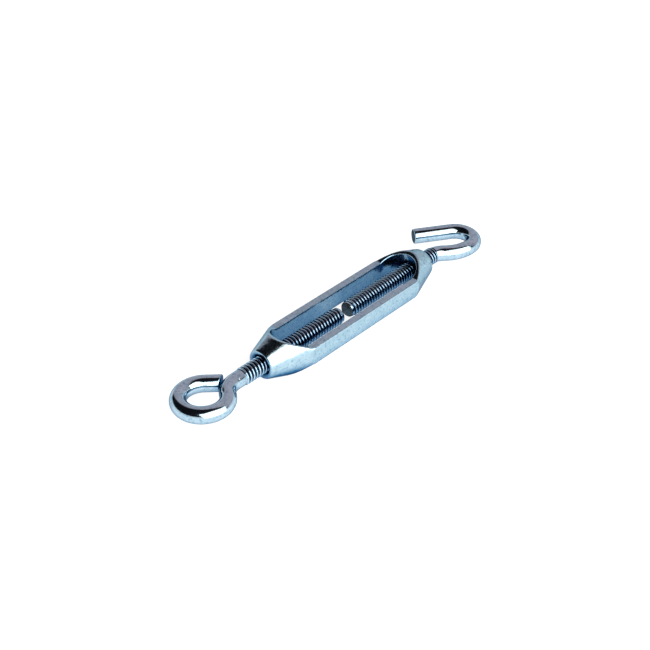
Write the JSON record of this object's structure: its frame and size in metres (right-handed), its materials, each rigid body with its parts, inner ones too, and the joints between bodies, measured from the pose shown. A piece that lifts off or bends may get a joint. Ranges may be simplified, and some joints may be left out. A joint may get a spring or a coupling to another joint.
{
  "type": "hook and eye turnbuckle",
  "caption": "Hook-and-eye rigging turnbuckle: an open frame with tapped hubs on a left-hand eye screw and a right-hand hook screw that draw together as the frame is turned.",
  "frame": {"origin": "middle of the frame's slot, on the common axis of the two screws", "axes": "+X along the screws' axis from the eye to the hook, +Z through the slot, +Y across the two bars"},
  "size_m": [0.1149, 0.0199, 0.0114],
  "materials": {
    "plated_frame": "bright zinc plating over a forged surface",
    "plated_rod": "bright zinc plating over drawn wire"
  },
  "bodies": {
    "frame": {"frame": "plated_frame"},
    "eye_point": {"eye_bolt_point": "plated_rod"},
    "eye": {"eye_bolt": "plated_rod"},
    "hook_point": {"hook_bolt_point": "plated_rod"},
    "hook": {"hook_bolt": "plated_rod"}
  },
  "joints": [
    {"name": "eye_travel", "type": "slide", "parent": "frame", "child": "eye_point", "axis": [-1, 0, 0], "range_m": [-0.00107, 0.02435]},
    {"name": "eye_turn", "type": "hinge", "parent": "eye_point", "child": "eye", "pos_m": [-0.02, 0, 0], "axis": [1, 0, 0], "range_deg": [-360, 8280]},
    {"name": "hook_travel", "type": "slide", "parent": "frame", "child": "hook_point", "axis": [1, 0, 0], "range_m": [-0.00107, 0.02435]},
    {"name": "hook_turn", "type": "hinge", "parent": "hook_point", "child": "hook", "pos_m": [0.02, 0, 0], "axis": [1, 0, 0], "range_deg": [-361, 8281]}
  ],
  "couplings": [
    {"joint": "eye_travel", "follows": "eye_turn", "m_per_rad": 0.00016839},
    {"joint": "hook_travel", "follows": "eye_turn", "m_per_rad": 0.00016839},
    {"joint": "hook_turn", "follows": "eye_turn", "ratio": 1}
  ]
}
